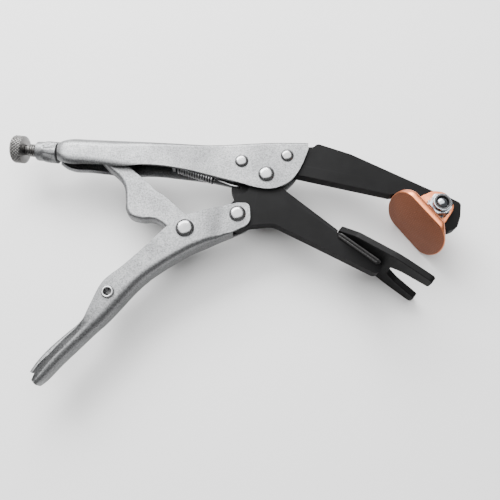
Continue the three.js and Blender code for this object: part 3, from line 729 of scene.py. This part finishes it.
def weld_bead(node, side):
    """A fillet weld with overlapping ripples along the corner of jaw and fork."""
    rng = random.Random(7 if side > 0 else 11)
    frame_of_fork = standing(FORK_SEAT, FORK_ANGLE)
    rows, across = 96, 10
    jitter = [rng.uniform(-0.12, 0.12) for _ in range(rows + 1)]
    vertices = []
    for i in range(rows + 1):
        t = i / rows
        along = WELD_START + 0.2 + t * (WELD_LENGTH - 0.4)
        phase = (along / 1.9) % 1
        ripple = 0.16 * (1 - (2 * phase - 1) ** 2) + jitter[i] * 0.25
        ends = min(1.0, (min(t, 1 - t) * WELD_LENGTH / 1.8 + 0.08)) ** 0.5
        leg = (WELD_LEG - 0.35) * ends
        for k in range(across + 1):
            a = (math.pi / 2) * k / across
            bow = leg * (0.70 + 0.30 * abs(math.cos(2 * a))) + ripple * math.sin(2 * a) * ends
            lead = 0.55 * math.sin(2 * a)
            point = (along - lead, -GAP - bow * math.sin(a), side * (JAW_HALF + GAP + bow * math.cos(a)))
            vertices.append(point)
        vertices.append((along, -GAP, side * (JAW_HALF + GAP)))
    width = across + 2
    faces = ring_faces(rows + 1, width)
    faces += [list(range(width)), [rows * width + k for k in range(width)]]
    obj = mesh_object(node + "_ripples", moved(vertices, frame_of_fork), faces)
    finish_piece(obj, node, 0, 2, 60)


# ---- Copper pad ----------------------------------------------------------------------------------


def pad_ring(out, lean, ease, count=28):
    """The pad's outline at one height, drawn in by its rounding. Its front end slopes back."""
    points = []
    slope = PAD_SLOPE * max(0, out - PAD_RIM) / (PAD_THICKNESS - PAD_RIM)
    for start, sign, more in ((PAD_STRAIGHT, 1, slope), (0, -1, 0)):
        for a in np.linspace(-math.pi / 2, math.pi / 2, count):
            along = start + sign * (PAD_BULGE - lean - more) * math.cos(a)
            points.append((along, out, sign * (PAD_HALF - ease) * math.sin(a)))
    return points


def copper_pad():
    """The rounded pad, its side web round the bolt, and its scored gripping face."""
    rows = [(0.0, 0.55, 0.55), (0.18, 0.18, 0.18), (0.55, 0.0, 0.0), (PAD_THICKNESS * 0.4, 0.05, 0.0)]
    for a in np.linspace(0.15, 1, 7) * math.pi / 2:
        rise = PAD_THICKNESS * (0.4 + 0.6 * math.sin(a))
        rows.append((rise, PAD_FILLET * (1 - math.cos(a)) + 0.05, PAD_SIDE_FILLET * (1 - math.cos(a))))
    rings = [pad_ring(out, lean, ease) for out, lean, ease in rows]
    size = len(rings[0])
    faces = ring_faces(len(rings), size)
    last = (len(rings) - 1) * size
    faces += [list(range(size))[::-1], list(range(last, last + size))]
    matrix = standing(PAD_SEAT, PAD_ANGLE)
    obj = mesh_object("copper_pad_face", moved([p for ring in rings for p in ring], matrix), faces)

    def at(along, out, *radius):
        point = matrix @ Vector((along, out, 0))
        return (point.x, point.y, *radius)

    low = JAW_HALF + GAP
    base = PAD_THICKNESS - 1.2
    web = plate("web", rounded([
        at(-0.6, base), (99.6, -15.5, 3), (106.4, -12.4, 8), (114.6, -13.4, 8),
        (119.6, -23.4, 8), at(22.6, 13, 3), at(23.4, base),
    ], 10), low, low + WEB_THICKNESS)
    soften(web, *WEB_EDGE)
    combine(obj, [web], "UNION")
    combine(obj, [pin(PAD_PIVOT, PAD_HOLE, 0, REACH)], "DIFFERENCE")
    finish_piece(obj, "copper_pad", 0, 2, 32)
    # The gripping face takes the darker copper copy, whose dark tone is painted shade.
    obj.data.materials.append(SCORED_COPPER_PAINTED_SHADE)
    gripping = (matrix.to_3x3() @ Vector((0, -1, 0))).normalized()
    for face in obj.data.polygons:
        if face.normal.dot(gripping) > 0.98:
            face.material_index = 1


# ---- Rivets and fasteners ------------------------------------------------------------------------


def rivet(node, center, shank, head, half_stack, rise):
    """A solid rivet with a low dome, a flattened crown and a small rim on each side."""
    face = half_stack + GAP
    dome = [(0, rise), (0.34, rise * 0.985), (0.5, rise * 0.93), (0.66, rise * 0.82), (0.8, rise * 0.64),
            (0.9, rise * 0.44), (0.96, rise * 0.28), (0.99, rise * 0.14), (1.0, rise * 0.06), (0.985, 0)]
    upper = [(r * head, face + h) for r, h in dome]
    lower = [(r * head, -face - h) for r, h in dome]
    profile = lower + [(shank, -face), (shank, face)] + upper[::-1]
    vertices, faces = turned(profile, 64)
    obj = mesh_object(node + "_head", moved(vertices, Matrix.Translation((*center, 0))), faces)
    finish_piece(obj, node, 0, 2, 50)


def hollow_rivet():
    """A tubular rivet whose ends are rolled over the handle's walls."""
    face = 9 + GAP
    bore, shank, roll = 2.0, 2.9, 0.85
    top = arc((bore + 0.95, face + 0.2), roll, 180, -10, 12)
    bottom = [(r, -z) for r, z in top[::-1]]
    profile = top + [(shank, face), (shank, -face)] + bottom
    profile.append(profile[0])
    vertices, faces = turned(profile, 64)
    obj = mesh_object("release_lever_eyelet", moved(vertices, Matrix.Translation((*LEVER_PIVOT, 0))), faces)
    finish_piece(obj, "release_lever_rivet", 0, 2, 50)


HEAD_WASHER = 1.6
LOCK_WASHER = 1.2
HEAD_HEIGHT = 5.3
HEAD_TOP = -JAW_HALF - GAP - HEAD_WASHER - GAP
WASHER_LOW = JAW_HALF + GAP + WEB_THICKNESS + GAP
NUT_LOW = WASHER_LOW + LOCK_WASHER + GAP
NUT_HEX = 5.0
NUT_HEIGHT = 7.4
BOLT_RADIUS = 3.95
HEX_FLATS = 13.0


def hexagon(center, flats, low, high):
    """A hexagonal prism with its corners turned off at both ends."""
    radius = flats / math.sqrt(3)
    corners = [(center[0] + radius * math.cos(k * math.pi / 3),
                center[1] + radius * math.sin(k * math.pi / 3)) for k in range(6)]
    prism = plate("hex", corners, low, high)
    half = flats / 2
    vertices, faces = turned([(0, low), (half + 0.1, low), (radius + 0.2, low + 0.75),
                              (radius + 0.2, high - 0.75), (half + 0.1, high), (0, high)], 72)
    cone = mesh_object("cone", moved(vertices, Matrix.Translation((*center, 0))), faces)
    combine(prism, [cone], "INTERSECT")
    return prism


def pad_bolt():
    """Hexagon head on the far side, threaded end with a dome over the nut."""
    end = NUT_LOW + NUT_HEIGHT + 0.9
    head = hexagon(PAD_PIVOT, HEX_FLATS, HEAD_TOP - HEAD_HEIGHT, HEAD_TOP)
    r = BOLT_RADIUS
    dome = [(r * math.cos(a), end - 3.4 + 3.4 * math.sin(a)) for a in np.linspace(0, math.pi / 2, 12)]
    vertices, faces = turned([(0, HEAD_TOP - 1), (r, HEAD_TOP - 1), *dome[:-1], (0, end)], 64)
    shank = mesh_object("shank", moved(vertices, Matrix.Translation((*PAD_PIVOT, 0))), faces)
    combine(head, [shank], "UNION")
    head.name = "pad_bolt_domed"
    finish_piece(head, "pad_bolt", 0.12, 2, 40)


def pad_nut():
    """A hexagon nut with a turned collar and a bright rolled ring at its top."""
    body = hexagon(PAD_PIVOT, HEX_FLATS, NUT_LOW, NUT_LOW + NUT_HEX)
    top = NUT_LOW + NUT_HEIGHT
    vertices, faces = turned([
        (0, NUT_LOW + NUT_HEX - 1), (5.9, NUT_LOW + NUT_HEX - 1), (5.75, top - 0.9),
        (5.72, top - 0.4), (5.55, top - 0.1), (5.35, top), (0, top)], 72)
    collar = mesh_object("collar", moved(vertices, Matrix.Translation((*PAD_PIVOT, 0))), faces)
    combine(body, [collar], "UNION")
    cuts = [pin(PAD_PIVOT, BOLT_RADIUS + 0.3, 0, 20), pin(PAD_PIVOT, 5.05, top - 2.0, 20)]
    combine(body, cuts, "DIFFERENCE")
    body.name = "pad_nut_collared"
    finish_piece(body, "pad_nut", 0.15, 2, 40)


# Node, centre, shank radius, head radius, half of what it holds together and height of its dome.
RIVETS = [
    ("upper_jaw_rivet_rear", UPPER_RIVET_REAR, 3.2, 4.4, CHEEK_HALF, 1.8),
    ("upper_jaw_rivet_front", UPPER_RIVET_FRONT, 3.2, 4.3, CHEEK_HALF, 1.8),
    ("main_pivot_rivet", MAIN_PIVOT, 3.9, 5.3, CHEEK_HALF, 2.2),
    ("handle_jaw_rivet", HANDLE_PIVOT, 3.9, 5.3, CHEEK_HALF, 2.2),
    ("handle_link_rivet", LINK_PIVOT, 3.5, 5.8, GRIP_HALF, 2.2),
]


def fasteners():
    """Every rivet, the pad's bolt and nut, and their washers and insert."""
    for entry in RIVETS:
        rivet(*entry)
    hollow_rivet()
    pad_bolt()
    pad_nut()
    for node, bevel in (("pad_nut_insert", 0.12), ("pad_lock_washer", 0.15), ("pad_head_washer", 0.25)):
        finish_piece(copy_of_node(node, node + "_ring"), node, bevel, 2, 30)


# ---- Adjusting screw -----------------------------------------------------------------------------


def adjusting_knob():
    """A turned knob with a raised diamond knurl between two plain chamfers."""
    sides, rows, teeth, depth = 260, 48, KNURL_TEETH, KNURL_DEPTH
    low, high = -KNOB_LENGTH + 1.0, -0.9
    slant = teeth / (2 * math.pi * KNOB_RADIUS)
    profile = [(0, -KNOB_LENGTH), (5.6, -KNOB_LENGTH), (6.6, -KNOB_LENGTH + 0.12), (7.4, -KNOB_LENGTH + 0.5)]
    vertices = []

    def ring(radius_at, height):
        for i in range(sides):
            angle = 2 * math.pi * i / sides
            vertices.append(polar(radius_at(angle), angle, height))

    for radius, height in profile:
        ring(lambda angle, r=radius: r, height)
    for row in range(rows + 1):
        height = low + (high - low) * row / rows
        fade = min(1.0, min(row, rows - row) / 5)

        def knurled(angle, height=height, fade=fade):
            u, v = angle * teeth / (2 * math.pi), height * slant
            first, second = abs(((u + v) % 1) - 0.5) * 2, abs(((u - v) % 1) - 0.5) * 2
            return KNOB_RADIUS - 0.5 + (0.5 - depth + depth * min(1, 2.2 * min(first, second))) * fade ** 0.5
        ring(knurled, height)
    for radius, height in ((7.5, -0.5), (6.8, -0.15), (6.0, 0.0), (0, 0.0)):
        ring(lambda angle, r=radius: r, height)
    faces = ring_faces(len(vertices) // sides, sides)
    obj = mesh_object("adjusting_knob_knurled", moved(vertices, on_screw_axis()), faces)
    finish_piece(obj, "adjusting_knob", 0, 2, 28)


def adjusting_screw():
    """A helical thread from behind the knob to a plain rounded tip."""
    sides, root = 40, SCREW_RADIUS - 0.85
    thread_end = SCREW_LENGTH - 6
    heights = [GAP, 0.7, *np.arange(1.0, thread_end, SCREW_PITCH / 8), thread_end + 0.2]
    vertices = []
    for height in heights:
        inside = 1.0 < height < thread_end
        fade = min(1.0, (height - 1) / 1.2, (thread_end - height) / 1.5) if inside else 0
        for i in range(sides):
            angle = 2 * math.pi * i / sides
            turn = (height / SCREW_PITCH - i / sides) % 1
            crest = min(1.0, max(0.0, 1.35 * (1 - abs(2 * turn - 1)) - 0.1))
            vertices.append(polar(root + (SCREW_RADIUS - root) * crest * fade, angle, height))
    tip = [(root, SCREW_LENGTH - 5), (2.6, SCREW_LENGTH - 0.8), (1.6, SCREW_LENGTH - 0.1), (0, SCREW_LENGTH)]
    for radius, height in tip:
        vertices += [polar(radius, 2 * math.pi * i / sides, height) for i in range(sides)]
    rows = len(vertices) // sides
    faces = ring_faces(rows, sides)
    vertices += [(0, 0, GAP)]
    faces += [((i + 1) % sides, i, rows * sides) for i in range(sides)]
    obj = mesh_object("adjusting_screw_threaded", moved(vertices, on_screw_axis()), faces)
    finish_piece(obj, "adjusting_screw", 0, 2, 50)


def screw_boss():
    """The swaged neck that holds the screw: a plain collar, a step, and lobes between pressed flats."""
    bore = SCREW_RADIUS + 0.25
    profile = [(bore, 0.5), (bore + 0.4, 0.05), (5.5, 0), (5.9, 0.15), (6.2, 0.5), (6.35, 1.2), (6.45, 4.6),
               (6.6, 5.3), (6.9, 6.2), (7.1, 7.4), (7.2, 9), (7.2, 11), (7.2, 14.2), (6.6, 14.6),
               (bore, 14.6), (bore, 0.5)]
    sides = 72
    vertices, faces = turned(profile, sides)
    pressed = []
    for i, (x, y, z) in enumerate(vertices):
        radius, angle = math.hypot(x, y), math.atan2(y, x)
        depth = min(1.0, max(0.0, (z - 4.8) / 1.4)) * min(1.0, max(0.0, (13.6 - z) / 3.5))
        if radius > bore + 0.1:
            flat = abs((angle * NECK_LOBES / (2 * math.pi) + 0.18) % 1 - 0.5) * 2
            radius -= NECK_PRESS * depth * min(1.0, max(0.0, 1.5 - 2.2 * flat))
        pressed.append(polar(radius, angle, z))
    obj = mesh_object("screw_boss_neck", moved(pressed, on_screw_axis(BOSS_START)), faces)
    finish_piece(obj, "screw_boss", 0, 2, 28)


# ---- Return spring -------------------------------------------------------------------------------

WIRE_RADIUS = 0.55
COIL_RADIUS = 2.9
COIL_TURNS = 14
COIL_START = 3.4
COIL_PITCH = 1.78
HOOK_FLOOR = 1.6


def return_spring():
    """A coil with a hook at each end, which runs from the fixed handle to the lower jaw."""
    rear = Vector((*SPRING_REAR, 0))
    front = Vector((*SPRING_FRONT, 0))
    along = (front - rear).normalized()
    side = Vector((-along.y, along.x, 0))
    up = Vector((0, 0, 1))

    def on_axis(distance, out=0.0, z=0.0):
        return rear + along * distance + side * out + up * z

    coil = []
    for k in range(COIL_TURNS * 16 + 1):
        angle = k * math.pi / 8
        coil.append(on_axis(COIL_START + COIL_PITCH * k / 16,
                            COIL_RADIUS * math.cos(angle), COIL_RADIUS * math.sin(angle)))
    end = COIL_START + COIL_TURNS * COIL_PITCH
    lift = HOOK_FLOOR + GAP + WIRE_RADIUS
    x, y = SPRING_FRONT
    line = [rear + Vector((-2.6, 2.4, 0)), rear + Vector((-2.2, 0.4, 0)), on_axis(1.4, 0.4), *coil,
            on_axis(end + 2.4, 0.8, 0.2), on_axis(end + 7, 0, 1.4), Vector((x - 4.6, y + 0.6, lift)),
            Vector((x - 0.9, y + 0.1, lift)), Vector((x, y, lift - 1)), Vector((x, y, -1.5))]
    curve = bpy.data.curves.new("return_spring_wire", "CURVE")
    curve.dimensions = "3D"
    curve.bevel_depth = WIRE_RADIUS * MM
    curve.bevel_resolution = 3
    curve.resolution_u = 2
    curve.use_fill_caps = True
    spline = curve.splines.new("NURBS")
    spline.points.add(len(line) - 1)
    for point, target in zip(spline.points, line):
        point.co = (*place(*target), 1)
    spline.use_endpoint_u = True
    spline.order_u = 3
    wire = bpy.data.objects.new("return_spring_wire", curve)
    bpy.context.scene.collection.objects.link(wire)
    graph = bpy.context.evaluated_depsgraph_get()
    mesh = bpy.data.meshes.new_from_object(wire.evaluated_get(graph))
    bpy.data.objects.remove(wire)
    obj = bpy.data.objects.new("return_spring_coil", mesh)
    bpy.context.scene.collection.objects.link(obj)
    start = place(*on_axis(COIL_START))
    stop = place(*on_axis(end + 7))
    finish_piece(obj, "return_spring", 0, 2, 50, blend=("upper_handle", "lower_jaw", start, stop))


# ---- Camera, floor and light ---------------------------------------------------------------------

# Lens and sensor in millimetres. The place is in the tool's own millimetres.
SENSOR_WIDTH = 36
LENS = 37.44
CAMERA_PLACE = (-10.57, -155.87, 309)
CAMERA_TILT = math.radians(18.9)
FLOOR_HALF = 3.0
WORLD_STRENGTH = 0.25
# Name, place, size and power, in metres and watts. Each faces the middle of the floor.
LIGHTS = [
    ("softbox", (-0.15, 0.35, 1.15), (2.0, 1.6), 62),
    ("key", (-0.35, 0.95, 0.75), (1.2, 0.6), 52),
]


def camera():
    """The view from the front and well above, nearly square onto the tool."""
    data = bpy.data.cameras.new("camera")
    data.sensor_width = SENSOR_WIDTH
    data.lens = LENS
    data.clip_start = 0.01
    obj = bpy.data.objects.new("camera", data)
    bpy.context.scene.collection.objects.link(obj)
    obj.location = place(*CAMERA_PLACE)
    obj.rotation_euler = (CAMERA_TILT, 0, 0)
    bpy.context.scene.camera = obj


def floor():
    """The pale ground the tool lies on."""
    half = FLOOR_HALF
    corners = [(-half, -half, 0), (half, -half, 0), (half, half, 0), (-half, half, 0)]
    mesh = bpy.data.meshes.new("floor")
    mesh.from_pydata(corners, [], [(0, 1, 2, 3)])
    obj = bpy.data.objects.new("floor", mesh)
    bpy.context.scene.collection.objects.link(obj)
    n = Nodes("pale_floor")
    color = n.ramp(n.noise(3, 2), [(0.3, (0.55, 0.55, 0.55)), (0.7, (0.57, 0.57, 0.57))])
    obj.data.materials.append(n.set(Base_Color=color, Roughness=0.85))


def area_light(name, location, size, power):
    """A rectangular lamp turned to the middle of the floor."""
    data = bpy.data.lights.new(name, "AREA")
    data.shape = "RECTANGLE"
    data.size, data.size_y = size
    data.energy = power
    obj = bpy.data.objects.new(name, data)
    bpy.context.scene.collection.objects.link(obj)
    obj.location = location
    obj.rotation_euler = (-Vector(location)).to_track_quat("-Z", "Y").to_euler()


def studio():
    """An even world light with the two lamps."""
    world = bpy.data.worlds.new("studio")
    bpy.context.scene.world = world
    world.use_nodes = True
    background = world.node_tree.nodes["Background"]
    background.inputs["Color"].default_value = (1, 1, 1, 1)
    background.inputs["Strength"].default_value = WORLD_STRENGTH
    for entry in LIGHTS:
        area_light(*entry)


camera()
floor()
studio()
fixed_handle()
lower_handle()
toggle_link()
release_lever()
forged_plates()
weld_bead("weld_bead_near", 1)
weld_bead("weld_bead_far", -1)
copper_pad()
fasteners()
adjusting_knob()
adjusting_screw()
screw_boss()
return_spring()
